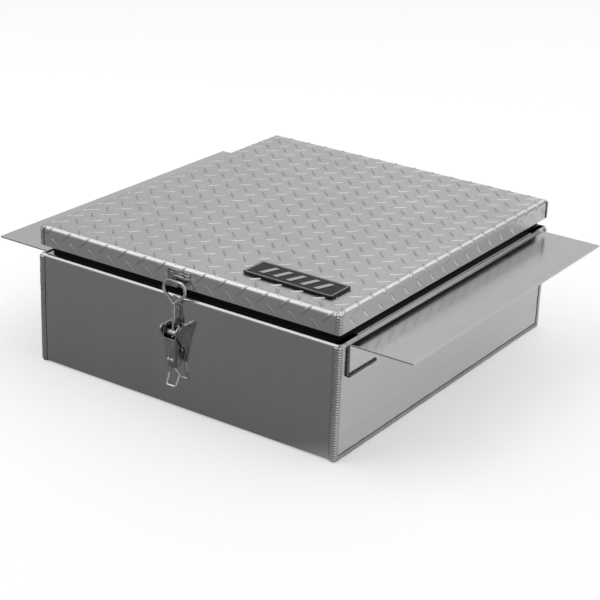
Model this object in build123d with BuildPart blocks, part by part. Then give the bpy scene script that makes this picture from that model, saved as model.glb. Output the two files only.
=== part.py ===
from build123d import *
import os
from math import atan2, cos, degrees, hypot, radians, sin

# In-frame truck tool box: a welded aluminium tub that hangs between the truck's
# frame rails by two side wings, under a hinged tread-plate lid with a draw latch.
#
# Frame, in millimetres: the origin is the middle of the tub's underside, +Z is up,
# the latch is on the -Y side, and the wings reach out along -X and +X.

# ---- Driving dimensions -------------------------------------------------------
body_width = 610.0  # along X, over the side panels
body_depth = 686.0  # along Y, front face to back face
body_height = 200.0
body_sheet = 3.2
body_bend = 6.4  # outer radius of the folds
end_flange_width = 50.0  # flange on the front and back, along Y
end_flange_half = 293.0  # half its length along X
end_notch_length = 60.0
side_flange_width = 40.0
side_flange_half = 287.0
bead_proud = 0.8
bead_chamfer = 1.4
bead_top_cut = 3.0  # the corner beads stop this far below the tub's top
corner_step = 1.0  # thickness of the side panel's tongue beside the front's fold

wing_reach = 115.0
wing_top = 195.0
wing_leg = 50.0
wing_bend = 5.0
wing_front = -318.0
wing_back = 323.0
wing_stitch = 79.0
stitch_drop = 4.6  # how far the stitch weld reaches below the wing's leg
stitch_shoulder = 2.4
stitch_slope = 0.6
end_weld_width = 3.0  # upright weld across each end of the wing's leg

seal_side_inset = 12.5
seal_end_inset = 9.0
seal_width = 16.0
seal_corner = 20.0
seal_round = 4.0
seal_top = 214.2

lid_sheet = 3.0
lid_bend = 8.0  # outer radius of the folds
lid_bend_inside = 2.0
lid_side_gap = 2.0  # the lid is this much narrower than the tub on each side
lid_bottom = 214.5
lid_top = 250.0
lid_rail_width = 25.0  # flat bars inside the skirts that press on the seal
lid_rail_gap = 0.4
lid_corner_gap = 2.2  # open corner that the weld bead fills
lid_bead_radius = 1.3
lid_bead_inset = 0.3

hinge_length = 570.0
hinge_knuckles = 19
hinge_radius = 4.0
hinge_bore = 2.08
hinge_pin_radius = 2.0
hinge_leaf = 2.0
hinge_height = 207.0
hinge_leaf_bottom = 172.0
hinge_leaf_top = 240.0
hinge_leaf_gap = 0.6  # between a leaf's edge and the knuckles
hinge_knuckle_gap = 0.5
hinge_rivets = 7
hinge_rivet_low = 182.0
hinge_rivet_high = 231.0
hinge_rivet_head = 4.4
hinge_rivet_rise = 1.4

badge_centre = (174.5, -272.5)
badge_size = (170.0, 56.0)
badge_bottom = 251.3
badge_plate_thickness = 2.5
badge_corner = 4.0
badge_border_inset = 2.5
badge_border_width = 1.5
badge_border_rise = 0.5
badge_bar_size = (20.0, 30.0)
badge_bar_angle = 70.0
badge_bar_count = 5
badge_bar_pitch = 26.0
badge_bar_rise = 0.8
tape_size = (150.0, 12.0)
tape_spacing = 30.0

latch_x = -5.0  # the latch sits slightly left of the middle
rivet_shank = 2.4
rivet_head = 4.2
rivet_rise = 1.3
rivet_tail = 3.6
rivet_tail_rise = 2.0
rivet_draft = 25.0
hole_reach = 20.0  # depth of a drilling tool's stroke, well past any sheet

# ---- Derived places -----------------------------------------------------------
front = -body_depth / 2
back = body_depth / 2
side = body_width / 2
inner_side = side - body_sheet
lid_side = side - lid_side_gap
lid_front = front + lid_side_gap
lid_back = back
lid_depth = lid_back - lid_front
lid_middle = (lid_front + lid_back) / 2
hinge_y = back + hinge_radius
hinge_rivet_pitch = hinge_length / hinge_rivets
base_rivet_places = ((latch_x, 178), (latch_x - 8, 107), (latch_x + 8, 107))
hands = {"left": -1, "right": 1}

os.makedirs("parts", exist_ok=True)


def save(piece, name):
    piece.part.label = name
    export_step(piece.part, f"parts/{name}.step")


def out(distance):
    """The Y of a point this far in front of the tub's front face."""
    return front - distance


# ---- Tub ----------------------------------------------------------------------
# One sheet is folded into the front, floor and back, with a flange at each top edge.
with BuildPart() as tub_wrapper:
    with BuildSketch(Plane.YZ):
        with Locations((0, body_height / 2)):
            RectangleRounded(body_depth, body_height, body_bend)
            RectangleRounded(
                body_depth - 2 * body_sheet, body_height - 2 * body_sheet,
                body_bend - body_sheet, mode=Mode.SUBTRACT)
        with Locations((0, body_height)):
            Rectangle(body_depth - 2 * end_flange_width, 4 * body_sheet, mode=Mode.SUBTRACT)
    extrude(amount=inner_side, both=True)
    # The flanges stop short of the side panels.
    notch = inner_side - end_flange_half
    notch_pitch = body_depth - 2 * body_bend - end_notch_length
    with BuildSketch(Plane.XY.offset(body_height - body_sheet)):
        with GridLocations(2 * end_flange_half + notch, notch_pitch, 2, 2):
            Rectangle(notch, end_notch_length)
    extrude(amount=2 * body_sheet, both=True, mode=Mode.SUBTRACT)
    # Rivet holes for the latch base and the hinge leaf.
    with BuildSketch(Plane.XZ.offset(-front)):
        with Locations(*base_rivet_places):
            Circle(rivet_shank)
    extrude(amount=hole_reach, both=True, mode=Mode.SUBTRACT)
    with BuildSketch(Plane.XZ.offset(-back)):
        with Locations((0, hinge_rivet_low)):
            with GridLocations(hinge_rivet_pitch, 1, hinge_rivets, 1):
                Circle(rivet_shank)
    extrude(amount=hole_reach, both=True, mode=Mode.SUBTRACT)
save(tub_wrapper, "tub_wrapper")

for hand, sign in hands.items():
    # Side panel: a flat sheet with its top edge folded inwards between the corners.
    with BuildPart() as side_panel:
        with BuildSketch(Plane.XZ):
            with BuildLine():
                top = body_height
                tip = side - side_flange_width
                Polyline(
                    (sign * side, body_sheet), (sign * side, top), (sign * tip, top),
                    (sign * tip, top - body_sheet), (sign * inner_side, top - body_sheet),
                    (sign * inner_side, body_sheet), close=True)
            make_face()
            fillet(vertices().group_by(Axis.Y)[-1].sort_by(lambda v: abs(v.X))[-1:], body_bend)
        extrude(amount=side_flange_half, both=True)
        with BuildSketch(Plane.YZ.offset(sign * inner_side)):
            with Locations((0, (body_sheet + body_height - corner_step) / 2)):
                plate = Rectangle(
                    body_depth - 2 * body_sheet, body_height - corner_step - body_sheet)
            fillet(plate.vertices().group_by(Axis.Y)[0], body_bend - body_sheet)
        extrude(amount=sign * (body_sheet - corner_step))
        with BuildSketch(Plane.YZ.offset(sign * inner_side)):
            with Locations((0, (body_sheet + body_height - body_bend) / 2)):
                plate = Rectangle(
                    body_depth - 2 * body_sheet, body_height - body_bend - body_sheet)
            fillet(plate.vertices().group_by(Axis.Y)[0], body_bend - body_sheet)
        extrude(amount=sign * body_sheet)
    save(side_panel, f"{hand}_side_panel")

    # Weld bead round the panel's front, bottom and back edges.
    with BuildPart() as edge_weld:
        with BuildSketch(Plane.YZ.offset(sign * inner_side)):
            with Locations((0, body_height / 2)):
                RectangleRounded(body_depth + bead_proud, body_height, body_bend)
                RectangleRounded(
                    body_depth - 2 * body_sheet, body_height - 2 * body_sheet,
                    body_bend - body_sheet, mode=Mode.SUBTRACT)
            with Locations((0, body_height)):
                Rectangle(2 * body_depth, 2 * bead_top_cut, mode=Mode.SUBTRACT)
                Rectangle(body_depth - 2 * body_sheet, body_height, mode=Mode.SUBTRACT)
        extrude(amount=sign * (body_sheet + bead_proud))
        outer = edge_weld.faces().sort_by(Axis.X)[-1 if sign > 0 else 0]
        rim = outer.edges().filter_by(
            lambda e: abs(e.center().Y) > body_depth / 2 - bead_proud
            or e.center().Z < body_sheet / 2)
        chamfer(rim, bead_chamfer)
    save(edge_weld, f"{hand}_edge_weld")

    # Mounting wing: an angle whose top leg lies on the truck's frame rail.
    with BuildPart() as wing:
        with BuildSketch(Plane.XZ.offset(-wing_front)):
            with BuildLine():
                low = wing_top - wing_leg
                Polyline(
                    (sign * side, low), (sign * side, wing_top),
                    (sign * (side + wing_reach), wing_top),
                    (sign * (side + wing_reach), wing_top - body_sheet),
                    (sign * (side + body_sheet), wing_top - body_sheet),
                    (sign * (side + body_sheet), low), close=True)
            make_face()
            heel = vertices().group_by(Axis.Y)[-1].sort_by(lambda v: abs(v.X))[:1]
            fillet(heel, wing_bend)
            inside = vertices().sort_by(
                lambda v: abs(abs(v.X) - side - body_sheet) + abs(v.Y - wing_top + body_sheet))[:1]
            fillet(inside, wing_bend - body_sheet)
        extrude(amount=-(wing_back - wing_front))
    save(wing, f"{hand}_wing")

    # Stitch welds under the wing's upright leg, and an upright weld at each of its ends.
    with BuildPart() as wing_welds:
        spans = (wing_front, (wing_front + wing_back - wing_stitch) / 2, wing_back - wing_stitch)
        for start in spans:
            with BuildSketch(Plane.XZ.offset(-start)):
                with BuildLine():
                    foot = wing_top - wing_leg
                    Polyline(
                        (sign * side, foot), (sign * (side + body_sheet), foot),
                        (sign * (side + body_sheet - stitch_slope), foot - stitch_shoulder),
                        (sign * side, foot - stitch_drop), close=True)
                make_face()
            extrude(amount=-wing_stitch)
        for start in (wing_front - end_weld_width, wing_back):
            with BuildSketch(Plane.XZ.offset(-start)):
                with Locations((sign * (side + body_sheet / 2), wing_top - wing_bend)):
                    Rectangle(
                        body_sheet, wing_leg - wing_bend + stitch_drop,
                        align=(Align.CENTER, Align.MAX))
            extrude(amount=-end_weld_width)
    save(wing_welds, f"{hand}_wing_welds")

# Rubber seal on the flanges, a closed ring with rounded corners.
with BuildPart() as weather_seal:
    with BuildSketch(Plane.XY.offset(body_height)):
        ring_x = body_width - 2 * seal_side_inset
        ring_y = body_depth - 2 * seal_end_inset
        RectangleRounded(ring_x, ring_y, seal_corner)
        RectangleRounded(
            ring_x - 2 * seal_width, ring_y - 2 * seal_width, seal_corner - seal_width,
            mode=Mode.SUBTRACT)
    extrude(amount=seal_top - body_height)
    fillet(weather_seal.faces().sort_by(Axis.Z)[-1].edges(), seal_round)
save(weather_seal, "weather_seal")

# ---- Lid ----------------------------------------------------------------------
latch_plate_bottom = 220.6
keeper_top = 243.0
keeper_plate = 2.0
keeper_rivet_z = 235.0
keeper_rivet_pitch = 30.0
with BuildPart() as lid_pan:
    with Locations((0, lid_middle, (lid_bottom + lid_top) / 2)):
        Box(2 * lid_side, lid_depth, lid_top - lid_bottom)
        fillet(lid_pan.faces().sort_by(Axis.Z)[-1].edges(), lid_bend)
    with Locations((0, lid_middle, (lid_bottom + lid_top) / 2 - lid_sheet)):
        Box(2 * (lid_side - lid_sheet), lid_depth - 2 * lid_sheet, lid_top - lid_bottom,
            mode=Mode.SUBTRACT)
        fillet(lid_pan.faces().filter_by(Plane.XY).sort_by(Axis.Z)[-2].edges(), lid_bend_inside)
    # The corners are open, and are closed by weld beads.
    with BuildSketch(Plane.XY.offset(lid_bottom)):
        with Locations((0, lid_middle)):
            with GridLocations(2 * lid_side - lid_corner_gap, lid_depth - lid_corner_gap, 2, 2):
                Rectangle(lid_corner_gap, lid_corner_gap)
    extrude(amount=lid_top - lid_bottom - lid_bend, mode=Mode.SUBTRACT)
    with BuildSketch(Plane.XZ.offset(-lid_front)):
        with Locations((latch_x, keeper_rivet_z)):
            with GridLocations(keeper_rivet_pitch, 1, 2, 1):
                Circle(rivet_shank)
    extrude(amount=hole_reach, both=True, mode=Mode.SUBTRACT)
    with BuildSketch(Plane.XZ.offset(-lid_back)):
        with Locations((0, hinge_rivet_high)):
            with GridLocations(hinge_rivet_pitch, 1, hinge_rivets, 1):
                Circle(rivet_shank)
    extrude(amount=hole_reach, both=True, mode=Mode.SUBTRACT)
save(lid_pan, "lid_pan")

# Four flat bars inside the skirts' bottom edges.
with BuildPart() as lid_seal_rails:
    rail_x = lid_side - lid_sheet - lid_rail_width / 2
    rail_y = lid_depth / 2 - lid_sheet - lid_rail_width / 2
    with BuildSketch(Plane.XY.offset(lid_bottom)):
        with Locations((0, lid_middle)):
            with GridLocations(2 * rail_x, 1, 2, 1):
                Rectangle(lid_rail_width, lid_depth - 2 * lid_sheet)
            with GridLocations(1, 2 * rail_y, 1, 2):
                Rectangle(
                    2 * (rail_x - lid_rail_gap) - lid_rail_width, lid_rail_width)
    extrude(amount=lid_sheet)
save(lid_seal_rails, "lid_seal_rails")

with BuildPart() as lid_corner_welds:
    with BuildSketch(Plane.XY.offset(lid_bottom)):
        with Locations((0, lid_middle)):
            with GridLocations(2 * lid_side - lid_corner_gap, lid_depth - lid_corner_gap, 2, 2):
                Rectangle(lid_corner_gap, lid_corner_gap)
        with Locations((0, lid_middle)):
            with GridLocations(
                    2 * (lid_side - lid_bead_inset), lid_depth - 2 * lid_bead_inset, 2, 2):
                Circle(lid_bead_radius)
        with Locations((0, lid_middle)):
            Rectangle(2 * (lid_side - lid_corner_gap), 2 * lid_depth, mode=Mode.SUBTRACT)
            Rectangle(4 * lid_side, lid_depth - 2 * lid_corner_gap, mode=Mode.SUBTRACT)
    extrude(amount=lid_top - lid_bottom - lid_bend)
save(lid_corner_welds, "lid_corner_welds")

# Badge: foam tape on the treads, a black plate, its raised border and plain bars.
with BuildPart() as badge_tape:
    with BuildSketch(Plane.XY.offset(lid_top)):
        with Locations(badge_centre):
            with GridLocations(1, tape_spacing, 1, 2):
                Rectangle(*tape_size)
    extrude(amount=badge_bottom - lid_top)
save(badge_tape, "badge_tape")

badge_face = badge_bottom + badge_plate_thickness
with BuildPart() as badge_plate:
    with BuildSketch(Plane.XY.offset(badge_bottom)):
        with Locations(badge_centre):
            RectangleRounded(*badge_size, badge_corner)
    extrude(amount=badge_plate_thickness)
save(badge_plate, "badge_plate")

with BuildPart() as badge_border:
    with BuildSketch(Plane.XY.offset(badge_face)):
        with Locations(badge_centre):
            outline = RectangleRounded(
                badge_size[0] - 2 * badge_border_inset, badge_size[1] - 2 * badge_border_inset,
                badge_corner - badge_border_inset / 2)
            offset(outline, amount=-badge_border_width, mode=Mode.SUBTRACT)
    extrude(amount=badge_border_rise)
save(badge_border, "badge_border")

with BuildPart() as badge_bars:
    with BuildSketch(Plane.XY.offset(badge_face)):
        with Locations(badge_centre):
            with GridLocations(badge_bar_pitch, 1, badge_bar_count, 1):
                Trapezoid(*badge_bar_size, badge_bar_angle, 180 - badge_bar_angle)
    extrude(amount=badge_bar_rise)
save(badge_bars, "badge_bars")

# ---- Piano hinge --------------------------------------------------------------
pitch = hinge_length / hinge_knuckles
for owner, first in (("body", 0), ("lid", 1)):
    if owner == "body":
        leaf_low = hinge_leaf_bottom
        leaf_high = hinge_height - hinge_radius - hinge_leaf_gap
        rivet_z = hinge_rivet_low
        sheet = body_sheet
    else:
        leaf_low = hinge_height + hinge_radius + hinge_leaf_gap
        leaf_high = hinge_leaf_top
        rivet_z = hinge_rivet_high
        sheet = lid_sheet
    starts = [
        (hinge_knuckle_gap - hinge_length) / 2 + pitch * k
        for k in range(first, hinge_knuckles, 2)]
    with BuildPart() as hinge_leaf_part:
        with BuildSketch(Plane.XZ.offset(-back)):
            with Locations((0, (leaf_low + leaf_high) / 2)):
                Rectangle(hinge_length, leaf_high - leaf_low)
        extrude(amount=-hinge_leaf)
        for start in starts:
            with BuildSketch(Plane.YZ.offset(start)):
                with Locations((hinge_y, hinge_height)):
                    Circle(hinge_radius)
                tab_low = min(leaf_high, hinge_height)
                tab_high = max(leaf_low, hinge_height)
                with Locations((back + hinge_leaf / 2, (tab_low + tab_high) / 2)):
                    Rectangle(hinge_leaf, tab_high - tab_low)
                with Locations((hinge_y, hinge_height)):
                    Circle(hinge_bore, mode=Mode.SUBTRACT)
            extrude(amount=pitch - hinge_knuckle_gap)
        with BuildSketch(Plane.XZ.offset(-back)):
            with Locations((0, rivet_z)):
                with GridLocations(hinge_rivet_pitch, 1, hinge_rivets, 1):
                    Circle(rivet_shank)
        extrude(amount=-hole_reach, mode=Mode.SUBTRACT)
    save(hinge_leaf_part, f"hinge_{owner}_leaf")

    with BuildPart() as hinge_rivet_row:
        with BuildSketch(Plane.XZ.offset(-(back - sheet))):
            with Locations((0, rivet_z)):
                with GridLocations(hinge_rivet_pitch, 1, hinge_rivets, 1):
                    Circle(rivet_shank)
        extrude(amount=-(sheet + hinge_leaf))
        with BuildSketch(Plane.XZ.offset(-(back + hinge_leaf))):
            with Locations((0, rivet_z)):
                with GridLocations(hinge_rivet_pitch, 1, hinge_rivets, 1):
                    Circle(hinge_rivet_head)
        extrude(amount=-hinge_rivet_rise, taper=rivet_draft)
        with BuildSketch(Plane.XZ.offset(-(back - sheet))):
            with Locations((0, rivet_z)):
                with GridLocations(hinge_rivet_pitch, 1, hinge_rivets, 1):
                    Circle(rivet_tail)
        extrude(amount=rivet_tail_rise)
    save(hinge_rivet_row, f"hinge_{owner}_rivets")

with BuildPart() as hinge_pin:
    with BuildSketch(Plane.YZ.offset(-hinge_length / 2)):
        with Locations((hinge_y, hinge_height)):
            Circle(hinge_pin_radius)
    extrude(amount=hinge_length)
save(hinge_pin, "hinge_pin")

# ---- Draw latch ---------------------------------------------------------------
# Side-view places are (distance out from the front face, height).
pivot = (14.0, 148.0)  # lever on base
swivel = (13.0, 139.0)  # eye rod on lever, just inside the line of pull
eye_bar = (9.8, 226.7)  # the eye's top bar, lying in the keeper's hook
eye_wire = 2.8
rod_radius = 3.0
hook_sheet = 3.0
hook_width = 22.0
hook_top = 231.0
hook_bend = 4.0
hook_clearance = 2.2
keeper_width = 45.0
keeper_corner = 3.0
base_half = 17.0
base_sheet = 2.5
base_plate_low = 100.0
base_plate_high = 153.5
base_corner = 5.0
tongue_width = 14.0
tongue_top = 188.0
ear_nose = 1.9
pivot_radius = 3.0
pivot_head = 5.0
pivot_rise = 1.6
pivot_inside = 11.4
bore_clearance = 0.08
swivel_barrel = 5.2
swivel_barrel_half = 10.8
swivel_pin = 2.5
lever_sheet = 2.0
lever_half_top = 14.2
lever_half_neck = 7.9
neck_z = 86.0
bail_wire = 2.0
bail_leg = 3.5  # half the distance between the legs inside the neck
bail_depth = 14.2  # distance of the legs from the front face
plug_z = 94.0
plug_radius = 2.2
plug_button = 3.3

# Keeper: a plate on the lid's skirt whose middle is bent out and up into a hook.
with BuildPart() as latch_keeper:
    with BuildSketch(Plane.XZ.offset(-lid_front)):
        with Locations((latch_x, (latch_plate_bottom + keeper_top) / 2)):
            keeper_outline = Rectangle(keeper_width, keeper_top - latch_plate_bottom)
        fillet(keeper_outline.vertices(), keeper_corner)
    extrude(amount=keeper_plate)
    floor_top = latch_plate_bottom + hook_sheet
    lip_inside = eye_bar[0] + eye_wire + hook_clearance
    with BuildSketch(Plane.YZ.offset(latch_x)):
        with BuildLine():
            Polyline(
                (lid_front, latch_plate_bottom),
                (out(lip_inside + hook_sheet), latch_plate_bottom),
                (out(lip_inside + hook_sheet), hook_top), (out(lip_inside), hook_top),
                (out(lip_inside), floor_top), (lid_front, floor_top), close=True)
        make_face()
        fillet(vertices().sort_by(Axis.X)[:2].sort_by(Axis.Y)[:1], hook_bend)
    extrude(amount=hook_width / 2, both=True)
    with BuildSketch(Plane.XZ.offset(-lid_front)):
        with Locations((latch_x, keeper_rivet_z)):
            with GridLocations(keeper_rivet_pitch, 1, 2, 1):
                Circle(rivet_shank)
    extrude(amount=hole_reach, mode=Mode.SUBTRACT)
save(latch_keeper, "latch_keeper")

with BuildPart() as keeper_rivets:
    with BuildSketch(Plane.XZ.offset(-(lid_front + lid_sheet))):
        with Locations((latch_x, keeper_rivet_z)):
            with GridLocations(keeper_rivet_pitch, 1, 2, 1):
                Circle(rivet_shank)
    extrude(amount=lid_sheet + keeper_plate)
    with BuildSketch(Plane.XZ.offset(-(lid_front - keeper_plate))):
        with Locations((latch_x, keeper_rivet_z)):
            with GridLocations(keeper_rivet_pitch, 1, 2, 1):
                Circle(rivet_head)
    extrude(amount=rivet_rise, taper=rivet_draft)
    with BuildSketch(Plane.XZ.offset(-(lid_front + lid_sheet))):
        with Locations((latch_x, keeper_rivet_z)):
            with GridLocations(keeper_rivet_pitch, 1, 2, 1):
                Circle(rivet_tail)
    extrude(amount=-rivet_tail_rise)
save(keeper_rivets, "keeper_rivets")

# Base: a back plate with a tongue up behind the rod, and two ears.
with BuildPart() as latch_base:
    with BuildSketch(Plane.XZ.offset(-front)):
        with Locations((latch_x, (base_plate_low + base_plate_high) / 2)):
            Rectangle(2 * base_half, base_plate_high - base_plate_low)
        with Locations((latch_x, (base_plate_low + tongue_top) / 2)):
            Rectangle(tongue_width, tongue_top - base_plate_low)
        fillet(vertices().group_by(Axis.Y)[-1], base_corner)
        fillet(vertices().group_by(Axis.Y)[0], base_corner)
    extrude(amount=base_sheet)
    for ear_x in (latch_x - base_half, latch_x + base_half - base_sheet):
        with BuildSketch(Plane.YZ.offset(ear_x)):
            with BuildLine():
                Polyline(
                    (out(0), base_plate_high), (out(22), base_plate_high),
                    (out(27), 149), (out(27), 145),
                    (out(17), 129), (out(8), 117), (out(0), 111), close=True)
            make_face()
            fillet(vertices().sort_by(Axis.X)[:2], ear_nose)
        extrude(amount=base_sheet)
    with BuildSketch(Plane.YZ.offset(latch_x)):
        with Locations((out(pivot[0]), pivot[1])):
            Circle(pivot_radius)
    extrude(amount=2 * base_half, both=True, mode=Mode.SUBTRACT)
    with BuildSketch(Plane.XZ.offset(-front)):
        with Locations(*base_rivet_places):
            Circle(rivet_shank)
    extrude(amount=hole_reach, mode=Mode.SUBTRACT)
save(latch_base, "latch_base")

with BuildPart() as base_rivets:
    with BuildSketch(Plane.XZ.offset(-(front + body_sheet))):
        with Locations(*base_rivet_places):
            Circle(rivet_shank)
    extrude(amount=body_sheet + base_sheet)
    with BuildSketch(Plane.XZ.offset(-(front - base_sheet))):
        with Locations(*base_rivet_places):
            Circle(rivet_head)
    extrude(amount=rivet_rise, taper=rivet_draft)
    with BuildSketch(Plane.XZ.offset(-(front + body_sheet))):
        with Locations(*base_rivet_places):
            Circle(rivet_tail)
    extrude(amount=-rivet_tail_rise)
save(base_rivets, "base_rivets")

# The rod runs between the ears, so each side has its own short pivot rivet.
with BuildPart() as pivot_rivets:
    for sign in (-1, 1):
        with BuildSketch(Plane.YZ.offset(latch_x + sign * pivot_inside)):
            with Locations((out(pivot[0]), pivot[1])):
                Circle(pivot_radius)
        extrude(amount=sign * (base_half - pivot_inside))
        with BuildSketch(Plane.YZ.offset(latch_x + sign * base_half)):
            with Locations((out(pivot[0]), pivot[1])):
                Circle(pivot_head)
        extrude(amount=sign * pivot_rise, taper=rivet_draft)
save(pivot_rivets, "pivot_rivets")

# Lever: a tapered channel, open at its top and towards the tub.
def lever_taper(half_top, half_neck, low):
    """Half-widths down the lever, seen from the front, as a closed outline."""
    right = [
        (latch_x + half_neck - 0.8, low), (latch_x + half_neck, neck_z),
        (latch_x + half_top, 143), (latch_x + half_top, 160)]
    left = [(2 * latch_x - x, z) for x, z in reversed(right)]
    return right + left


with BuildPart() as lever_hollow:
    with BuildSketch(Plane.YZ):
        with BuildLine():
            Polyline(
                (out(40), 160), (out(40), 133), (out(21.9), 133),
                (out(16.4), neck_z), (out(15.8), 70), (out(0), 70), (out(0), 160), close=True)
        make_face()
    extrude(amount=40, both=True)
    with BuildSketch(Plane.XZ.offset(-front)):
        with BuildLine():
            Polyline(
                *lever_taper(lever_half_top - lever_sheet, lever_half_neck - lever_sheet, 70),
                close=True)
        make_face()
    extrude(amount=60, mode=Mode.INTERSECT)

with BuildPart() as latch_lever:
    with BuildSketch(Plane.YZ):
        with BuildLine():
            Polyline(
                (out(23.9), 133), (out(21), 149), (out(17), 153), (out(11), 153),
                (out(7.6), 149), (out(7.2), 138), (out(8), 124), (out(11), 100),
                (out(12.2), 86), (out(12.4), 80), (out(17.8), 80), (out(18.4), neck_z),
                close=True)
        make_face()
    extrude(amount=40, both=True)
    with BuildSketch(Plane.XZ.offset(-front)):
        with BuildLine():
            Polyline(*lever_taper(lever_half_top, lever_half_neck, 70), close=True)
        make_face()
    extrude(amount=60, mode=Mode.INTERSECT)
    long_folds = latch_lever.edges().filter_by(
        lambda e: 45 < e.length < 50 and e.center().Y < out(19))
    fillet(long_folds, 1.6)
    add(lever_hollow.part, mode=Mode.SUBTRACT)
    for centre, radius in ((pivot, pivot_radius), (swivel, swivel_pin)):
        with BuildSketch(Plane.YZ.offset(latch_x)):
            with Locations((out(centre[0]), centre[1])):
                Circle(radius + bore_clearance)
        extrude(amount=2 * base_half, both=True, mode=Mode.SUBTRACT)
    # Holes for the plug welds that hold the bail.
    with BuildSketch(Plane.XZ.offset(-front)):
        with Locations((latch_x, plug_z)):
            with GridLocations(2 * bail_leg, 1, 2, 1):
                Circle(plug_radius)
    extrude(amount=60, mode=Mode.SUBTRACT)
save(latch_lever, "latch_lever")

# Swivel: a cross pin that turns in the lever, with the rod through its middle.
lean = degrees(atan2(swivel[0] - eye_bar[0], eye_bar[1] - swivel[1]))
rod_plane = Plane(
    origin=(latch_x, out(swivel[0]), swivel[1]), x_dir=(1, 0, 0),
    z_dir=(0, -cos(radians(lean)), sin(radians(lean))))
rod_axis = Plane(
    origin=rod_plane.origin, x_dir=(1, 0, 0), z_dir=rod_plane.y_dir)
bar_height = hypot(swivel[0] - eye_bar[0], eye_bar[1] - swivel[1])
with BuildPart() as latch_swivel:
    with BuildSketch(Plane.YZ.offset(latch_x)):
        with Locations((out(swivel[0]), swivel[1])):
            Circle(swivel_barrel)
    extrude(amount=swivel_barrel_half, both=True)
    with BuildSketch(Plane.YZ.offset(latch_x)):
        with Locations((out(swivel[0]), swivel[1])):
            Circle(swivel_pin)
    extrude(amount=lever_half_top, both=True)
    with BuildSketch(rod_axis):
        Circle(rod_radius)
    extrude(amount=2 * swivel_barrel, both=True, mode=Mode.SUBTRACT)
save(latch_swivel, "latch_swivel")

# Eye rod: a bar bent round into an eye, welded at the neck.
eye_half = 22.7
eye_top_inset = 3.5
eye_shoulder = 21.0  # height of the eye's widest point above its neck
eye_bend = 11.0
eye_neck_bend = 9.0
neck_height = 50.0
rod_tail = 15.0
nut_across = 10.0
nut_height = 5.0
nut_low = 10.4
with BuildPart() as eye_rod:
    with BuildSketch(rod_axis.offset(-rod_tail)):
        Circle(rod_radius)
    extrude(amount=rod_tail + neck_height + 1)
    with BuildLine(rod_plane) as eye_path:
        FilletPolyline(
            (1, neck_height), (eye_half, neck_height + eye_shoulder),
            (eye_half - eye_top_inset, bar_height), (eye_top_inset - eye_half, bar_height),
            (-eye_half, neck_height + eye_shoulder), (-1, neck_height),
            radius=(eye_neck_bend, eye_bend, eye_bend, eye_neck_bend), close=False)
    eye_start = Plane(origin=eye_path.line @ 0, z_dir=eye_path.line % 0)
    with BuildSketch(eye_start):
        Circle(eye_wire)
    sweep(path=eye_path.line)
    with Locations(eye_start.origin):
        Sphere(rod_radius + 0.2)
save(eye_rod, "eye_rod")

with BuildPart() as rod_nut:
    with BuildSketch(rod_axis.offset(-nut_low)):
        RegularPolygon(nut_across / 2, 6, major_radius=False)
        Circle(rod_radius, mode=Mode.SUBTRACT)
    extrude(amount=nut_height)
save(rod_nut, "rod_nut")

# Bail: a wire handle whose legs are plug welded inside the lever's neck.
with BuildPart() as pull_bail:
    with BuildLine() as bail_path:
        FilletPolyline(
            (latch_x - bail_leg, out(bail_depth), plug_z + 4),
            (latch_x - bail_leg, out(bail_depth), 79),
            (latch_x - 10.5, out(8.6), 66),
            (latch_x - 9.2, out(17.7), 47),
            (latch_x + 9.2, out(17.7), 47),
            (latch_x + 10.5, out(8.6), 66),
            (latch_x + bail_leg, out(bail_depth), 79),
            (latch_x + bail_leg, out(bail_depth), plug_z + 4),
            radius=(4, 3, 3.2, 3.2, 3, 4), close=False)
    with BuildSketch(Plane(origin=bail_path.line @ 0, z_dir=bail_path.line % 0)):
        Circle(bail_wire)
    sweep(path=bail_path.line)
save(pull_bail, "pull_bail")

# Plug welds: a shank through the lever's face, with a domed button outside it.
with BuildPart() as plug_welds:
    with Locations((latch_x, out(bail_depth + bail_wire + plug_button), plug_z)):
        with GridLocations(2 * bail_leg, 1, 2, 1):
            Sphere(plug_button)
    add(latch_lever.part, mode=Mode.SUBTRACT)
    with Locations((latch_x, front, plug_z)):
        Box(4 * bail_leg, 2 * (bail_depth + bail_wire), 4 * plug_button, mode=Mode.SUBTRACT)
save(plug_welds, "plug_welds")
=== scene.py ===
import math

import bmesh
import bpy
from mathutils import Matrix, Vector, noise


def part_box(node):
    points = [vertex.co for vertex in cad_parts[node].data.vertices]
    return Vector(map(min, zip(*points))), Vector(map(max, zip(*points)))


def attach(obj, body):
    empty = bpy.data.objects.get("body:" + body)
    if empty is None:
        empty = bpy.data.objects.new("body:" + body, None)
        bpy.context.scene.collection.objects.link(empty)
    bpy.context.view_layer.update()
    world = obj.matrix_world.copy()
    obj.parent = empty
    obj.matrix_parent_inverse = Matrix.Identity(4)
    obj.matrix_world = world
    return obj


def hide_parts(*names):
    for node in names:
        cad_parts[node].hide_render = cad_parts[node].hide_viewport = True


# In-frame truck tool box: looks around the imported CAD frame. All lengths are metres.
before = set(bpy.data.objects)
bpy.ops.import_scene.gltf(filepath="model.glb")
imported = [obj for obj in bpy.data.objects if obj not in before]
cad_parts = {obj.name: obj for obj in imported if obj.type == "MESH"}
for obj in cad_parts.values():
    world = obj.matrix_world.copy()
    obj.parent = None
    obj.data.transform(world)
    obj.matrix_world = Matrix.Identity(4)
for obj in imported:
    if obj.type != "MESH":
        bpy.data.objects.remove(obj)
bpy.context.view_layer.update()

MM = 0.001
HANDS = {"left": -1, "right": 1}


# ---- Mesh helpers ---------------------------------------------------------------
def mesh_piece(name, verts, faces, smooth=True):
    """A new object from points and faces, in the row frame."""
    mesh = bpy.data.meshes.new(name)
    mesh.from_pydata([tuple(v) for v in verts], [], faces)
    mesh.validate()
    for polygon in mesh.polygons:
        polygon.use_smooth = smooth
    piece = bpy.data.objects.new(name, mesh)
    bpy.context.scene.collection.objects.link(piece)
    return piece


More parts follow.
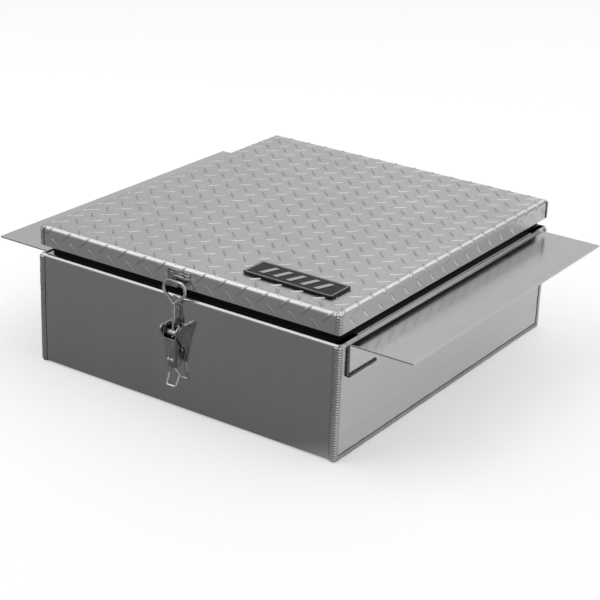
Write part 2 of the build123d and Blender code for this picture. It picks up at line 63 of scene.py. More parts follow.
def add_loft(verts, faces, rings, loop=False):
    """Joins rings of points, each a closed outline, into one closed skin."""
    start = len(verts)
    count = len(rings[0])
    for ring in rings:
        verts.extend(ring)
    last = len(rings) if loop else len(rings) - 1
    for i in range(last):
        a = start + i * count
        b = start + ((i + 1) % len(rings)) * count
        for j in range(count):
            k = (j + 1) % count
            faces.append((a + j, a + k, b + k, b + j))
    if not loop:
        faces.append(tuple(start + j for j in reversed(range(count))))
        faces.append(tuple(start + (len(rings) - 1) * count + j for j in range(count)))


def face_outwards(piece):
    """Turns every closed shell of the piece outside out."""
    bm = bmesh.new()
    bm.from_mesh(piece.data)
    bmesh.ops.recalc_face_normals(bm, faces=bm.faces)
    bm.to_mesh(piece.data)
    bm.free()


def smooth_by_angle(piece, degrees):
    """Smooth shading, apart from edges sharper than this."""
    piece.data.set_sharp_from_angle(angle=math.radians(degrees))


# ---- Material helpers -------------------------------------------------------------
CLOUD_SCALE = 7
FINE_SCALE = 900
EVEN = (1, 1, 1)
ALONG_X = (0.05, 1, 1)
ALONG_Y = (1, 0.02, 1)
ALONG_Z = (1, 1, 0.02)


class Graph:
    """A node material being built round one Principled shader."""

    def __init__(self, name):
        self.material = bpy.data.materials.new(name)
        self.material.use_nodes = True
        self.nodes = self.material.node_tree.nodes
        self.links = self.material.node_tree.links
        self.shader = self.nodes["Principled BSDF"]
        self.place = self.nodes.new("ShaderNodeTexCoord").outputs["Object"]
        self.bumped = None  # the normal after the last bump layer

    def set(self, **values):
        """Sets constants on the shader; spaces in socket names are written as underscores."""
        for key, value in values.items():
            self.shader.inputs[key.replace("_", " ")].default_value = value

    def noise(self, scale, stretch=(1, 1, 1), detail=4, rough=0.55):
        """A cloudy 0 to 1 value, drawn out along the axes whose stretch is small."""
        mapping = self.nodes.new("ShaderNodeMapping")
        mapping.inputs["Scale"].default_value = stretch
        texture = self.nodes.new("ShaderNodeTexNoise")
        texture.inputs["Scale"].default_value = scale
        texture.inputs["Detail"].default_value = detail
        texture.inputs["Roughness"].default_value = rough
        self.links.new(self.place, mapping.inputs["Vector"])
        self.links.new(mapping.outputs["Vector"], texture.inputs["Vector"])
        return texture.outputs["Fac"]

    def ramp(self, value, low, high, start=0.3, end=0.7):
        """Spreads a 0 to 1 value between two colours or two numbers."""
        ramp = self.nodes.new("ShaderNodeValToRGB")
        for element, at, colour in zip(ramp.color_ramp.elements, (start, end), (low, high)):
            element.position = at
            shade = (colour,) * 3 if isinstance(colour, (int, float)) else colour
            element.color = (*shade, 1)
        self.links.new(value, ramp.inputs["Fac"])
        return ramp.outputs["Color"]

    def mix(self, factor, a, b):
        """Blends from a to b; each of the three is a socket, a number or a colour."""
        mix = self.nodes.new("ShaderNodeMix")
        mix.data_type = "RGBA"
        for socket, value in ((mix.inputs[0], factor), (mix.inputs[6], a), (mix.inputs[7], b)):
            if isinstance(value, bpy.types.NodeSocket):
                self.links.new(value, socket)
            elif isinstance(value, (int, float)):
                socket.default_value = value
            else:
                socket.default_value = (*value, 1)
        return mix.outputs[2]

    def drive(self, socket, value):
        """Feeds a shader socket from a node's output."""
        self.links.new(value, self.shader.inputs[socket])

    def bump(self, value, distance, strength=1.0):
        """Adds a bump layer; layers stack."""
        node = self.nodes.new("ShaderNodeBump")
        node.inputs["Distance"].default_value = distance
        node.inputs["Strength"].default_value = strength
        self.links.new(value, node.inputs["Height"])
        if self.bumped is not None:
            self.links.new(self.bumped, node.inputs["Normal"])
        self.bumped = node.outputs["Normal"]
        self.links.new(self.bumped, self.shader.inputs["Normal"])


def grey(level):
    return (level, level, level)


def metal(name, dark, light, smooth, rough, grain, grain_bump, grain_scale=60, fine=0.0):
    """Metal with a directional grain, cloudy tone and roughness, and a fine texture.
    Bump distances are in metres."""
    g = Graph(name)
    g.set(Metallic=1.0)
    clouds = g.noise(CLOUD_SCALE, detail=3)
    streaks = g.noise(grain_scale, stretch=grain, detail=5)
    tone = g.mix(0.5, clouds, streaks)
    g.drive("Base Color", g.ramp(tone, dark, light, 0.36, 0.64))
    g.drive("Roughness", g.ramp(tone, rough, smooth, 0.34, 0.66))
    g.bump(streaks, grain_bump)
    if fine:
        g.bump(g.noise(FINE_SCALE, detail=2), fine)
    return g.material


def give(piece, material):
    """Puts one material on every slot of a piece."""
    if piece.data.materials:
        for i in range(len(piece.data.materials)):
            piece.data.materials[i] = material
    else:
        piece.data.materials.append(material)


def underside_shaded_weld():
    """Bead whose downward faces are painted near black: painted shade under the bead."""
    g = Graph("weld_painted_underside_shade")
    g.set(Metallic=1.0)
    grain = g.noise(300, detail=4)
    facing = g.nodes.new("ShaderNodeSeparateXYZ")
    g.links.new(g.nodes.new("ShaderNodeTexCoord").outputs["Normal"], facing.inputs["Vector"])
    under = g.nodes.new("ShaderNodeMapRange")
    for socket, value in (("From Min", -0.35), ("From Max", 0.3)):
        under.inputs[socket].default_value = value
    g.links.new(facing.outputs["Z"], under.inputs["Value"])
    unshaded_grain = g.ramp(grain, grey(0.10), (0.42, 0.42, 0.41))
    # Painted shade: faces that look down are blended to near black.
    g.drive("Base Color", g.mix(under.outputs["Result"], grey(0.02), unshaded_grain))
    g.drive("Roughness", g.ramp(grain, 0.2, 0.4))
    g.bump(grain, 0.0001)
    return g.material


WRAPPER = metal("wrapper_mill", dark=grey(0.60), light=grey(0.64), smooth=0.13, rough=0.17,
                grain=ALONG_Z, grain_bump=0.000004)
SIDE = metal("side_mill", dark=(0.76, 0.755, 0.74), light=(0.82, 0.815, 0.80),
             smooth=0.24, rough=0.28, grain=ALONG_Y, grain_bump=0.000006)
WING = metal("wing_mill", dark=(0.76, 0.76, 0.75), light=(0.83, 0.83, 0.82),
             smooth=0.13, rough=0.19, grain=ALONG_Y, grain_bump=0.00001)
TREAD = metal("tread_rolled", dark=(0.73, 0.73, 0.725), light=(0.81, 0.81, 0.805),
              smooth=0.26, rough=0.33, grain=ALONG_X, grain_bump=0.00001, fine=0.000006)
# Painted shade: the bars get a darker, rougher copy of the tread metal, so they read as dark lines
# with dimmed highlights.
BAR = metal("tread_bar_painted_shade", dark=(0.60, 0.60, 0.595), light=(0.72, 0.72, 0.715),
            smooth=0.24, rough=0.32, grain=EVEN, grain_bump=0.00001, fine=0.000006)
WELD = metal("weld_bright", dark=(0.60, 0.60, 0.59), light=(0.80, 0.80, 0.79),
             smooth=0.18, rough=0.40, grain=EVEN, grain_bump=0.00010, grain_scale=300)
HINGE = metal("hinge_rolled", dark=grey(0.50), light=grey(0.60), smooth=0.20, rough=0.30,
              grain=(0.03, 1, 1), grain_bump=0.00002)
RIVET = metal("rivet_satin", dark=grey(0.64), light=grey(0.74), smooth=0.22, rough=0.36,
              grain=EVEN, grain_bump=0.00002, grain_scale=300)
# Painted shade: a darker metal for a bead's ripple valleys, and a near black one for its two toes.
VALLEY = metal("weld_valley_painted_shade", dark=grey(0.16), light=grey(0.34), smooth=0.30, rough=0.50,
               grain=EVEN, grain_bump=0.0001, grain_scale=300)
TOE = metal("weld_toe_painted_shade", dark=grey(0.015), light=grey(0.09), smooth=0.35, rough=0.60,
            grain=EVEN, grain_bump=0.0001, grain_scale=300)
# Painted light and shade: the latch's wire parts get a brighter copy of its steel as a painted
# highlight, and the lever and other latch parts a darker, mottled one as painted shade.
WIRE_PAINTED_BRIGHT = metal("latch_wire_painted_bright", dark=grey(0.66), light=grey(0.86), smooth=0.06, rough=0.14,
             grain=EVEN, grain_bump=0.00003, grain_scale=160)
LATCH_PAINTED_DARK = metal("latch_polished_painted_dark", dark=grey(0.22), light=grey(0.66), smooth=0.06, rough=0.17,
              grain=(1, 1, 0.25), grain_bump=0.00022, grain_scale=130)
SILVER = metal("badge_silver", dark=grey(0.62), light=grey(0.74), smooth=0.14, rough=0.24,
               grain=ALONG_X, grain_bump=0.00001)


def rubber():
    g = Graph("seal_rubber")
    g.set(Specular_IOR_Level=0.15)
    mottle = g.noise(260, detail=4)
    g.drive("Base Color", g.ramp(mottle, grey(0.003), grey(0.007)))
    g.drive("Roughness", g.ramp(mottle, 0.55, 0.78))
    g.bump(mottle, 0.00012)
    return g.material


def enamel():
    g = Graph("badge_enamel")
    g.set(Specular_IOR_Level=0.22)
    peel = g.noise(180, detail=2)
    g.drive("Base Color", g.ramp(peel, (0.008, 0.008, 0.009), (0.014, 0.014, 0.016)))
    g.drive("Roughness", g.ramp(peel, 0.24, 0.36))
    g.bump(peel, 0.00004)
    return g.material


def foam():
    g = Graph("foam_cells")
    cells = g.noise(1500, detail=3, rough=0.7)
    g.drive("Base Color", g.ramp(cells, grey(0.012), grey(0.05)))
    g.drive("Roughness", g.ramp(cells, 0.8, 0.95))
    g.bump(cells, 0.0002)
    return g.material


RUBBER = rubber()
ENAMEL = enamel()
FOAM = foam()
UNDERSIDE_SHADED_WELD = underside_shaded_weld()

FINISH = {
    "tub_wrapper": WRAPPER, "left_side_panel": SIDE, "right_side_panel": SIDE,
    "left_wing": WING, "right_wing": WING, "lid_pan": TREAD, "lid_seal_rails": SIDE,
    "badge_plate": ENAMEL, "badge_border": SILVER, "badge_bars": SILVER,
    "hinge_body_leaf": HINGE, "hinge_lid_leaf": HINGE, "hinge_pin": HINGE,
    "hinge_body_rivets": RIVET, "hinge_lid_rivets": RIVET,
    "eye_rod": WIRE_PAINTED_BRIGHT, "pull_bail": WIRE_PAINTED_BRIGHT, "plug_welds": WIRE_PAINTED_BRIGHT,
}
# Parts not listed get the darker latch steel, which is painted shade.
for node_name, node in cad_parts.items():
    give(node, FINISH.get(node_name, LATCH_PAINTED_DARK))


BEVEL_SEGMENTS = 2
BEVEL_FROM = math.radians(40)


def soften(node_names, width):
    """Breaks the sharp edges of CAD nodes, as filing or stamping does."""
    for name in node_names:
        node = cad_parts[name]
        weld = node.modifiers.new("weld", "WELD")
        weld.merge_threshold = 0.005 * MM
        bevel = node.modifiers.new("bevel", "BEVEL")
        bevel.width = width
        bevel.segments = BEVEL_SEGMENTS
        bevel.limit_method = "ANGLE"
        bevel.angle_limit = BEVEL_FROM
        bevel.use_clamp_overlap = True
        bevel.harden_normals = True


soften(("latch_lever", "latch_base", "latch_keeper"), 0.45 * MM)
soften(("left_wing", "right_wing"), 0.4 * MM)
soften(("badge_plate",), 0.5 * MM)


# ---- Tread pattern ------------------------------------------------------------------
lid_low, lid_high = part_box("lid_pan")
lid_bend = 8 * MM
lid_middle = (lid_low.y + lid_high.y) / 2
flat_x = lid_high.x - lid_bend
flat_y = (lid_high.y - lid_low.y) / 2 - lid_bend
bend_arc = lid_bend * math.pi / 2
skirt_end = bend_arc + lid_high.z - lid_bend - lid_low.z - 1 * MM
hinge_clear = bend_arc + 2 * MM  # the hinge leaf covers the back skirt below this

TREAD_PITCH = (40.57 * MM, 39.6 * MM)
TREAD_START = (36.44 * MM, 206.7 * MM)
BAR_LENGTH = 31 * MM
BAR_WIDTH = 6.4 * MM
BAR_HEIGHT = 1.25 * MM
BAR_ROOT = 0.12 * MM  # how deep a bar's foot lies in the sheet
BAR_ANGLE = math.radians(45)
BAR_TAPER = 2.6  # the higher, the blunter the bar is in plan
BAR_CROWN = 6  # the higher, the flatter the bar's top is along its length
BAR_TIP_WIDTH = 0.08
BAR_TIP_HEIGHT = 0.15
BAR_STATIONS = 11
# Across a bar: share of its half width, and of its height. None is its foot.
BAR_PROFILE = (
    (-1, None), (-0.72, 0.36), (-0.38, 0.82), (0, 1), (0.38, 0.82), (0.72, 0.36), (1, None))


def bend_over(beyond, lift):
    """(how far out, how far down) a point lies that is this far past the flat, round the fold."""
    if beyond <= 0:
        return beyond, lift
    if beyond < bend_arc:
        turn = beyond / lid_bend
        reach = lid_bend + lift
        return reach * math.sin(turn), reach * math.cos(turn) - lid_bend
    return lid_bend + lift, bend_arc - lid_bend - beyond


def on_lid(u, v, lift):
    """The place on the folded lid of a point of the flat sheet, with a height over its face."""
    past_x = abs(u) - flat_x
    past_y = abs(v - lid_middle) - flat_y
    if past_x >= past_y:
        out_x, up = bend_over(past_x, lift)
        return Vector((math.copysign(flat_x + out_x, u), v, lid_high.z + up))
    out_y, up = bend_over(past_y, lift)
    return Vector((u, lid_middle + math.copysign(flat_y + out_y, v - lid_middle), lid_high.z + up))


def on_sheet(u, v):
    """True if this point of the flat sheet exists on the folded lid."""
    past_x = abs(u) - flat_x
    past_y = abs(v - lid_middle) - flat_y
    if past_x > 0 and past_y > 0:
        return False
    limit_y = hinge_clear if v > lid_middle else skirt_end
    return past_x < skirt_end and past_y < limit_y


def add_bar(verts, faces, centre, slope):
    """One raised bar, sloping one way or the other, cut off where the sheet ends."""
    along = Vector((math.cos(BAR_ANGLE), slope * math.sin(BAR_ANGLE)))
    across = Vector((-along.y, along.x))
    places = [(2 * i / (BAR_STATIONS - 1) - 1) for i in range(BAR_STATIONS)]
    real = [t for t in places if on_sheet(*(centre + along * t * BAR_LENGTH / 2))]
    if len(real) < 3:
        return
    first, last = real[0], real[-1]
    rings = []
    for i in range(BAR_STATIONS):
        t = first + (last - first) * i / (BAR_STATIONS - 1)
        spine = centre + along * t * BAR_LENGTH / 2
        half = BAR_WIDTH / 2 * max(1 - abs(t) ** BAR_TAPER, BAR_TIP_WIDTH)
        crown = BAR_HEIGHT * max(1 - t ** BAR_CROWN, BAR_TIP_HEIGHT)
        ring = []
        for s, height in BAR_PROFILE:
            p = spine + across * s * half
            ring.append(on_lid(p.x, p.y, -BAR_ROOT if height is None else crown * height))
        rings.append(ring)
    add_loft(verts, faces, rings)


def make_treads():
    verts, faces = [], []
    columns = int((2 * (flat_x + skirt_end)) / TREAD_PITCH[0]) + 3
    rows = int((2 * (flat_y + skirt_end)) / TREAD_PITCH[1]) + 3
    for i in range(-columns, columns):
        for j in range(-rows, rows):
            for slope, shift in ((1, 0.0), (-1, 0.5)):
                u = TREAD_START[0] + (i + shift) * TREAD_PITCH[0]
                v = TREAD_START[1] + (j + shift) * TREAD_PITCH[1]
                if on_sheet(u, v):
                    add_bar(verts, faces, Vector((u, v)), slope)
    treads = mesh_piece("tread_bars", verts, faces)
    face_outwards(treads)
    smooth_by_angle(treads, 50)
    give(treads, BAR)
    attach(treads, "lid")


make_treads()


# ---- Weld beads ----------------------------------------------------------------------
RIPPLE_PITCH = 4.4 * MM
RIPPLE_STEP = 0.55 * MM
RIPPLE_MEAN = 0.6
RIPPLE_SKEW = 0.6  # how far a ripple lags at the bead's sides
RIPPLE_ROUND = 0.7
RIPPLE_FADE = 0.85  # how much of it is lost at the bead's sides
VALLEY_BELOW = 0.32
WANDER_SHORT = 160  # bumps per metre along the bead, times about one
WANDER_LONG = 35
TONE_CREST, TONE_VALLEY_SHADE, TONE_TOE_SHADE = 0, 1, 2


def add_bead(skin, stations, section, core, seed,
             ripple=1.2 * MM, wander=0.5 * MM, ends=4):
    """Adds a rippled bead to a skin: (points, faces, tone of each face). Each station is a
    function from section (a, b) to a point; the skin stands away from the core in scallops,
    and the two ends are rounded off."""
    verts, faces, tones = skin
    outline, buried = section
    half = (len(outline) - 1) / 2
    rings = []
    count = len(stations)
    for i, place in enumerate(stations):
        run = i * RIPPLE_STEP
        ring = []
        nearest = min(i, count - 1 - i)
        shrink = 1.0
        if nearest < ends:
            shrink = math.sqrt(1 - ((ends - nearest) / (ends + 0.5)) ** 2)
        for j, (a, b) in enumerate(outline):
            lean = ((j - half) / half) ** 2
            scallop = abs(math.sin(math.pi * (run / RIPPLE_PITCH + RIPPLE_SKEW * lean)))
            scallop = scallop ** RIPPLE_ROUND
            push = ripple * (scallop - RIPPLE_MEAN) * (1 - RIPPLE_FADE * lean ** 2)
            push += wander * noise.noise(Vector((run * WANDER_SHORT, j * 0.8, seed)))
            push += wander * noise.noise(Vector((run * WANDER_LONG, j * 0.3, seed + 9)))
            reach = math.hypot(a - core[0], b - core[1])
            swell = shrink * (1 + push / reach)
            ring.append(place(core[0] + (a - core[0]) * swell, core[1] + (b - core[1]) * swell))
        for a, b in buried:
            ring.append(place(core[0] + (a - core[0]) * shrink, core[1] + (b - core[1]) * shrink))
        rings.append(ring)
    add_loft(verts, faces, rings)
    # Faces in ripple valleys and along the toes get the painted-shade metals.
    for i in range(count - 1):
        ripple_here = abs(math.sin(math.pi * (i + 0.5) * RIPPLE_STEP / RIPPLE_PITCH))
        valley = ripple_here < VALLEY_BELOW
        for j in range(len(rings[0])):
            toe = j in (0, len(outline) - 2)
            tones.append(TONE_TOE_SHADE if toe else TONE_VALLEY_SHADE if valley else TONE_CREST)
    tones.extend((TONE_CREST, TONE_CREST))


def finish_bead(name, skin, body, replaced, crest=None):
    """The bead's object: its crests are plain bright metal; its valleys are rougher and painted
    darker, and its two toes painted near black, as painted shade in the ripples' hollows and along
    the toes.
    """
    verts, faces, tones = skin
    bead = mesh_piece(name, verts, faces)
    face_outwards(bead)
    for material in (crest or WELD, VALLEY, TOE):
        bead.data.materials.append(material)
    for polygon, tone in zip(bead.data.polygons, tones):
        polygon.material_index = tone
    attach(bead, body)
    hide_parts(replaced)


wall_low, wall_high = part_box("tub_wrapper")
side_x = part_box("right_side_panel")[1].x
tub_bend = 6.4 * MM
BEAD_TOP_GAP = 3.4 * MM  # between the tub's top and the ends of its corner beads

# A section is the skin's visible outline, then its buried corners. Each point is
# (outwards past the side, outwards past the other face).
TUB_CORE = (-2.8 * MM, -2.4 * MM)
TUB_SECTION = (
    [(-12.6 * MM, -0.7 * MM), (-10.8 * MM, 0.7 * MM), (-8.2 * MM, 1.6 * MM), (-5.4 * MM, 1.9 * MM),
     (-2.6 * MM, 1.5 * MM), (-0.4 * MM, 0.5 * MM), (1.1 * MM, -1.1 * MM), (1.8 * MM, -3.4 * MM),
     (1.7 * MM, -6.0 * MM), (0.9 * MM, -8.4 * MM), (-0.7 * MM, -10.0 * MM)],
    [(-2.2 * MM, -10.0 * MM), (-2.2 * MM, -2.2 * MM), (-12.6 * MM, -2.2 * MM)])


def tub_stations(sign):
    """Down the front corner, along the bottom edge and up the back corner."""
    low, high = wall_low, wall_high
    top = high.z - BEAD_TOP_GAP
    straight = top - tub_bend
    arc = tub_bend * math.pi / 2
    bottom = high.y - low.y - 2 * tub_bend
    stations = []
    total = 2 * straight + 2 * arc + bottom
    for i in range(int(total / RIPPLE_STEP)):
        s = i * RIPPLE_STEP
        if s < straight:
            y, z, ny, nz = low.y, top - s, -1, 0
        elif s < straight + arc:
            turn = (s - straight) / tub_bend
            ny, nz = -math.cos(turn), -math.sin(turn)
            y, z = low.y + tub_bend + tub_bend * ny, tub_bend + tub_bend * nz
        elif s < straight + arc + bottom:
            y, z, ny, nz = low.y + tub_bend + s - straight - arc, 0, 0, -1
        elif s < straight + 2 * arc + bottom:
            turn = (s - straight - arc - bottom) / tub_bend
            ny, nz = math.sin(turn), -math.cos(turn)
            y, z = high.y - tub_bend + tub_bend * ny, tub_bend + tub_bend * nz
        else:
            y, z, ny, nz = high.y, tub_bend + s - straight - 2 * arc - bottom, 1, 0

        def place(a, b, y=y, z=z, ny=ny, nz=nz):
            return Vector((sign * (side_x + a), y + ny * b, max(z + nz * b, 0)))
        stations.append(place)
    return stations


for hand, sign in HANDS.items():
    skin = ([], [], [])
    add_bead(skin, tub_stations(sign), TUB_SECTION, TUB_CORE, 3 + sign)
    finish_bead(f"{hand}_corner_bead", skin, "tub", f"{hand}_edge_weld")

# The lid's corner beads run up each corner and over the fold onto the top.
LID_CORE = (-2.4 * MM, -2.2 * MM)
LID_SECTION = (
    [(-8.6 * MM, -0.6 * MM), (-7.0 * MM, 0.9 * MM), (-4.8 * MM, 1.8 * MM), (-2.4 * MM, 1.6 * MM),
     (-0.3 * MM, 0.6 * MM), (1.2 * MM, -1.2 * MM), (1.8 * MM, -3.4 * MM), (1.3 * MM, -5.6 * MM),
     (-0.5 * MM, -7.4 * MM)],
    [(-1.6 * MM, -7.4 * MM), (-1.9 * MM, -1.9 * MM), (-8.6 * MM, -1.6 * MM)])


def lid_corner_stations(sign_x, sign_y):
    edge_y = lid_high.y if sign_y > 0 else lid_low.y
    rise = lid_high.z - lid_low.z - 0.4 * MM
    stations = []
    for i in range(int(rise / RIPPLE_STEP) + 1):
        z = lid_low.z + 0.2 * MM + i * RIPPLE_STEP
        over = max(z - (lid_high.z - lid_bend), 0)
        inset = lid_bend - math.sqrt(max(lid_bend ** 2 - over ** 2, 0))

        def place(a, b, z=z, inset=inset):
            return Vector((sign_x * (lid_high.x + a - inset), edge_y + sign_y * (b - inset), z))
        stations.append(place)
    return stations


skin = ([], [], [])
for sign_x in (-1, 1):
    for sign_y in (-1, 1):
        add_bead(skin, lid_corner_stations(sign_x, sign_y), LID_SECTION, LID_CORE,
                 20 + sign_x * 2 + sign_y, ends=3)
finish_bead("lid_corner_beads", skin, "lid", "lid_corner_welds")

# Stitch welds under each wing's upright leg, and upright ones across its two ends.
STITCH_CORE = (1.2 * MM, -1.5 * MM)
STITCH_SECTION = (
    [(-0.3 * MM, -7.4 * MM), (1.8 * MM, -7.2 * MM), (3.9 * MM, -5.8 * MM), (5.2 * MM, -3.4 * MM),
     (5.4 * MM, -0.9 * MM), (4.2 * MM, 1.0 * MM)],
    [(2.4 * MM, 1.0 * MM), (-0.3 * MM, 1.0 * MM)])
STITCH_LENGTH = 79 * MM
END_WELD_OVERLAP = 4 * MM  # an end weld starts this far below the leg
END_WELD_SCALE = (0.8, 0.7)
END_WELD_RIPPLE = 0.4 * MM
for hand, sign in HANDS.items():
    wing_low, wing_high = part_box(f"{hand}_wing")
    starts = (
        wing_low.y, (wing_low.y + wing_high.y - STITCH_LENGTH) / 2,
        wing_high.y - STITCH_LENGTH)
    skin = ([], [], [])
    for n, start in enumerate(starts):
        stations = []
        for i in range(int(STITCH_LENGTH / RIPPLE_STEP)):
            def place(a, b, y=start + i * RIPPLE_STEP):
                return Vector((sign * (side_x + a), y, wing_low.z + b))
            stations.append(place)
        add_bead(skin, stations, STITCH_SECTION, STITCH_CORE, 40 + n + sign)
    for way, end in ((-1, wing_low.y), (1, wing_high.y)):
        stations = []
        for i in range(int((wing_high.z - wing_low.z) / RIPPLE_STEP)):
            z = wing_low.z - END_WELD_OVERLAP + i * RIPPLE_STEP

            def place(a, b, z=z, way=way, end=end):
                wide, proud = END_WELD_SCALE
                return Vector((sign * (side_x + a * wide), end - way * b * proud, z))
            stations.append(place)
        add_bead(skin, stations, STITCH_SECTION, STITCH_CORE, 50 + way + sign,
                 ripple=END_WELD_RIPPLE)
    # The stitch beads carry painted shade on their undersides.
    finish_bead(f"{hand}_stitch_beads", skin, "tub", f"{hand}_wing_welds", UNDERSIDE_SHADED_WELD)


# ---- Weather seal ----------------------------------------------------------------------
seal_low, seal_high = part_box("weather_seal")
SEAL_PROFILE = [  # (inwards from the outer edge, up), in millimetres
    (0.0, 0.0), (0.0, 2.6), (0.5, 3.1), (1.6, 3.5), (1.1, 5.2), (1.0, 7.4), (1.6, 9.8), (3.0, 11.9),
    (5.2, 13.5), (8.0, 14.1), (10.8, 13.5), (13.0, 11.9), (14.4, 9.8), (15.0, 7.4), (14.9, 5.2),
    (14.4, 3.5), (15.5, 3.1), (16.0, 2.6), (16.0, 0.0)]
SEAL_CORNER = 20 * MM
SEAL_ARC_STEPS = 14
SEAL_RUN_STEPS = 24
SEAL_SAG = 0.12 * MM
SEAL_SAG_ABOVE = 4  # the foot doesn't sag; millimetres


def seal_path():
    """(outer point, inward direction) round the ring."""
    places = []
    corners = [(seal_high.x, seal_high.y, 0), (seal_low.x, seal_high.y, 90),
               (seal_low.x, seal_low.y, 180), (seal_high.x, seal_low.y, 270)]
    for n, (x, y, turn) in enumerate(corners):
        cx = x - math.copysign(SEAL_CORNER, x)
        cy = y - math.copysign(SEAL_CORNER, y)
        for i in range(SEAL_ARC_STEPS + 1):
            angle = math.radians(turn + 90 * i / SEAL_ARC_STEPS)
            way = Vector((math.cos(angle), math.sin(angle), 0))
            places.append((Vector((cx, cy, 0)) + way * SEAL_CORNER, -way))
        nx, ny, _ = corners[(n + 1) % 4]
        end = Vector((nx - math.copysign(SEAL_CORNER, nx), ny - math.copysign(SEAL_CORNER, ny), 0))
        end = end + way * SEAL_CORNER
        begin = places[-1][0]
        for i in range(1, SEAL_RUN_STEPS):
            places.append((begin.lerp(end, i / SEAL_RUN_STEPS), -way))
    return places


def make_seal():
    rings = []
    for n, (point, way) in enumerate(seal_path()):
        ring = []
        for r, z in SEAL_PROFILE:
            wave = noise.noise(Vector((n * 0.35, z * 0.05, 2.0)))
            sag = SEAL_SAG * wave if z > SEAL_SAG_ABOVE else 0
            ring.append(point + way * (r * MM) + Vector((0, 0, seal_low.z + z * MM + min(sag, 0))))
        rings.append(ring)
    verts, faces = [], []
    add_loft(verts, faces, rings, loop=True)
    seal = mesh_piece("bulb_seal", verts, faces)
    face_outwards(seal)
    smooth_by_angle(seal, 60)
    give(seal, RUBBER)
    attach(seal, "tub")
    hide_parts("weather_seal")


make_seal()


# ---- Foam strips under the badge ---------------------------------------------------------
FOAM_WIDTH = 12 * MM
FOAM_STEPS = 40
FOAM_EDGE = 0.4 * MM  # the strips are cut this much narrower on each side
FOAM_RAGGED = 0.35 * MM
FOAM_SQUEEZE = 0.35 * MM  # how far the squeezed sides bulge


def make_foam():
    low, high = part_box("badge_tape")
    mid = (low.z + high.z) / 2
    verts, faces = [], []
    for n, y in enumerate((low.y, high.y - FOAM_WIDTH)):
        rings = []
        for i in range(FOAM_STEPS + 1):
            x = low.x + (high.x - low.x) * i / FOAM_STEPS
            ragged = [FOAM_RAGGED * noise.noise(Vector((x * 300, n * 5.0, k))) for k in (1.0, 7.0)]
            y0, y1 = y + FOAM_EDGE + ragged[0], y + FOAM_WIDTH - FOAM_EDGE + ragged[1]
            rings.append([
                Vector((x, y0 + FOAM_SQUEEZE, low.z)), Vector((x, y0, mid)),
                Vector((x, y0 + FOAM_SQUEEZE, high.z)), Vector((x, y1 - FOAM_SQUEEZE, high.z)),
                Vector((x, y1, mid)), Vector((x, y1 - FOAM_SQUEEZE, low.z))])
        add_loft(verts, faces, rings)
    tape = mesh_piece("badge_foam_strips", verts, faces)
    face_outwards(tape)
    smooth_by_angle(tape, 50)
    give(tape, FOAM)
    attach(tape, "lid")
    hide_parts("badge_tape")


make_foam()


# ---- Floor, light and camera -----------------------------------------------------------------
# The studio is bright at the back right and dark at the front left; the floor's painted reflection
# and painted glow are graded the same way.
BRIGHT_WAY = (0.70711, 0.70711, 0.0)
FLOOR_SIZE = 40.0
FLOOR_STEPS = 8
FLOOR_DROP = 0.0005
FLOOR_TURN = (-0.12, 0.04)  # metres along BRIGHT_WAY over which its mirrored tone rises
# Painted reflection and painted glow: the tone and light the metal mirrors from the floor. The
# camera sees the floor pale, with a painted glow too.
FLOOR_PAINTED_REFLECTION = (0.14, 0.43)
FLOOR_PAINTED_GLOW = (0.10, 0.31)
SEEN_TONE = 0.95
SEEN_PAINTED_GLOW = 0.35
SKY_TURN = (-0.5, 0.25)
SKY_TONE = (0.30, 0.56)
SKY_FAR_TURN = (0.35, 0.9)
SKY_FAR_FADE = (1.0, 0.70)
ZENITH_FROM = (0.45, 0.8)  # heights in the sky over which it fades to the zenith's tone
ZENITH_TONE = 0.34


def towards_light(nodes, links, vector, turn, tones):
    """A tone that turns from the first to the second between two places along BRIGHT_WAY."""
    dot = nodes.new("ShaderNodeVectorMath")
    dot.operation = "DOT_PRODUCT"
    dot.inputs[1].default_value = BRIGHT_WAY
    rise = nodes.new("ShaderNodeMapRange")
    rise.interpolation_type = "SMOOTHSTEP"
    for socket, value in zip(("From Min", "From Max", "To Min", "To Max"), turn + tones):
        rise.inputs[socket].default_value = value
    links.new(vector, dot.inputs[0])
    links.new(dot.outputs["Value"], rise.inputs["Value"])
    return rise.outputs["Result"]


def make_floor():
    """A pale floor with a painted glow, though it is no lamp. What the metal mirrors of it is a
    painted reflection: toned down, darker on the front left.
    """
    marks = [FLOOR_SIZE * (i / FLOOR_STEPS - 0.5) for i in range(FLOOR_STEPS + 1)]
    verts = [Vector((x, y, -FLOOR_DROP)) for y in marks for x in marks]
    row = FLOOR_STEPS + 1
    faces = [(j * row + i, j * row + i + 1, (j + 1) * row + i + 1, (j + 1) * row + i)
             for j in range(FLOOR_STEPS) for i in range(FLOOR_STEPS)]
    floor = mesh_piece("floor", verts, faces, smooth=False)
    g = Graph("floor_pale_painted_reflection_glow")
    g.set(Roughness=0.9, Specular_IOR_Level=0.1)
    path = g.nodes.new("ShaderNodeLightPath")
    seen = path.outputs["Is Camera Ray"]
    # Painted reflection: the mirrored tone and glow darken towards the front left.
    painted_reflection_tone = towards_light(g.nodes, g.links, g.place, FLOOR_TURN, FLOOR_PAINTED_REFLECTION)
    painted_glow = towards_light(g.nodes, g.links, g.place, FLOOR_TURN, FLOOR_PAINTED_GLOW)
    g.drive("Base Color", g.mix(seen, painted_reflection_tone, grey(SEEN_TONE)))
    g.set(Emission_Color=(1, 1, 1, 1))
    g.drive("Emission Strength", g.mix(seen, painted_glow, grey(SEEN_PAINTED_GLOW)))
    give(floor, g.material)


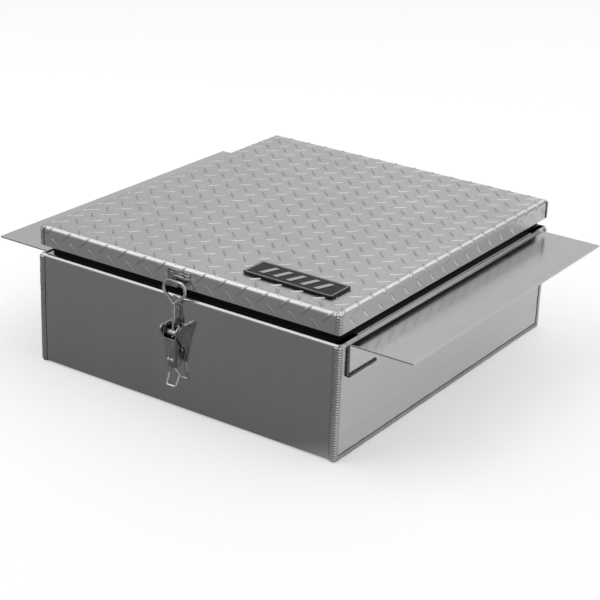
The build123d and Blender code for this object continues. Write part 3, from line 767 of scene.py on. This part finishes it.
def make_world():
    """A sky graded along BRIGHT_WAY, a little darker again far round, and by height."""
    world = bpy.data.worlds.new("studio")
    bpy.context.scene.world = world
    world.use_nodes = True
    nodes, links = world.node_tree.nodes, world.node_tree.links
    coordinates = nodes.new("ShaderNodeTexCoord").outputs["Generated"]
    sides = nodes.new("ShaderNodeMath")
    sides.operation = "MULTIPLY"
    rise = towards_light(nodes, links, coordinates, SKY_TURN, SKY_TONE)
    fade = towards_light(nodes, links, coordinates, SKY_FAR_TURN, SKY_FAR_FADE)
    links.new(rise, sides.inputs[0])
    links.new(fade, sides.inputs[1])
    split = nodes.new("ShaderNodeSeparateXYZ")
    links.new(coordinates, split.inputs["Vector"])
    above = nodes.new("ShaderNodeMapRange")
    above.interpolation_type = "SMOOTHSTEP"
    above.inputs["From Min"].default_value = ZENITH_FROM[0]
    above.inputs["From Max"].default_value = ZENITH_FROM[1]
    links.new(split.outputs["Z"], above.inputs["Value"])
    blend = nodes.new("ShaderNodeMix")
    links.new(above.outputs["Result"], blend.inputs[0])
    links.new(sides.outputs[0], blend.inputs[2])
    blend.inputs[3].default_value = ZENITH_TONE
    links.new(blend.outputs[0], nodes["Background"].inputs["Color"])


LIGHT_AIM = Vector((0, 0, 0.1))


def soft_light(name, place, width, energy):
    """A square softbox that faces the tool box; watts."""
    light = bpy.data.lights.new(name, "AREA")
    light.shape = "RECTANGLE"
    light.size = width
    light.size_y = width
    light.energy = energy
    lamp = bpy.data.objects.new(name, light)
    bpy.context.scene.collection.objects.link(lamp)
    lamp.location = place
    lamp.rotation_mode = "QUATERNION"
    lamp.rotation_quaternion = (LIGHT_AIM - Vector(place)).to_track_quat("-Z", "Y")


make_floor()
make_world()
soft_light("front_left_box", (-2.2, -1.65, 3.2), 4.4, 50)
soft_light("back_right_box", (1.2, 2.4, 4.6), 6.5, 88)

camera_place = Vector((1.5231, -2.2694, 1.2273))
camera_look = Vector((-0.51407, 0.76577, -0.38643))
camera_roll = math.radians(2.14)
camera = bpy.data.objects.new("camera", bpy.data.cameras.new("camera"))
bpy.context.scene.collection.objects.link(camera)
bpy.context.scene.camera = camera
camera.location = camera_place
camera.rotation_mode = "QUATERNION"
turned = camera_look.to_track_quat("-Z", "Y").to_matrix() @ Matrix.Rotation(camera_roll, 3, "Z")
camera.rotation_quaternion = turned.to_quaternion()
camera.data.sensor_width = 36
camera.data.lens = 99.49
camera.data.clip_end = 200

bpy.context.scene.view_settings.view_transform = "Standard"
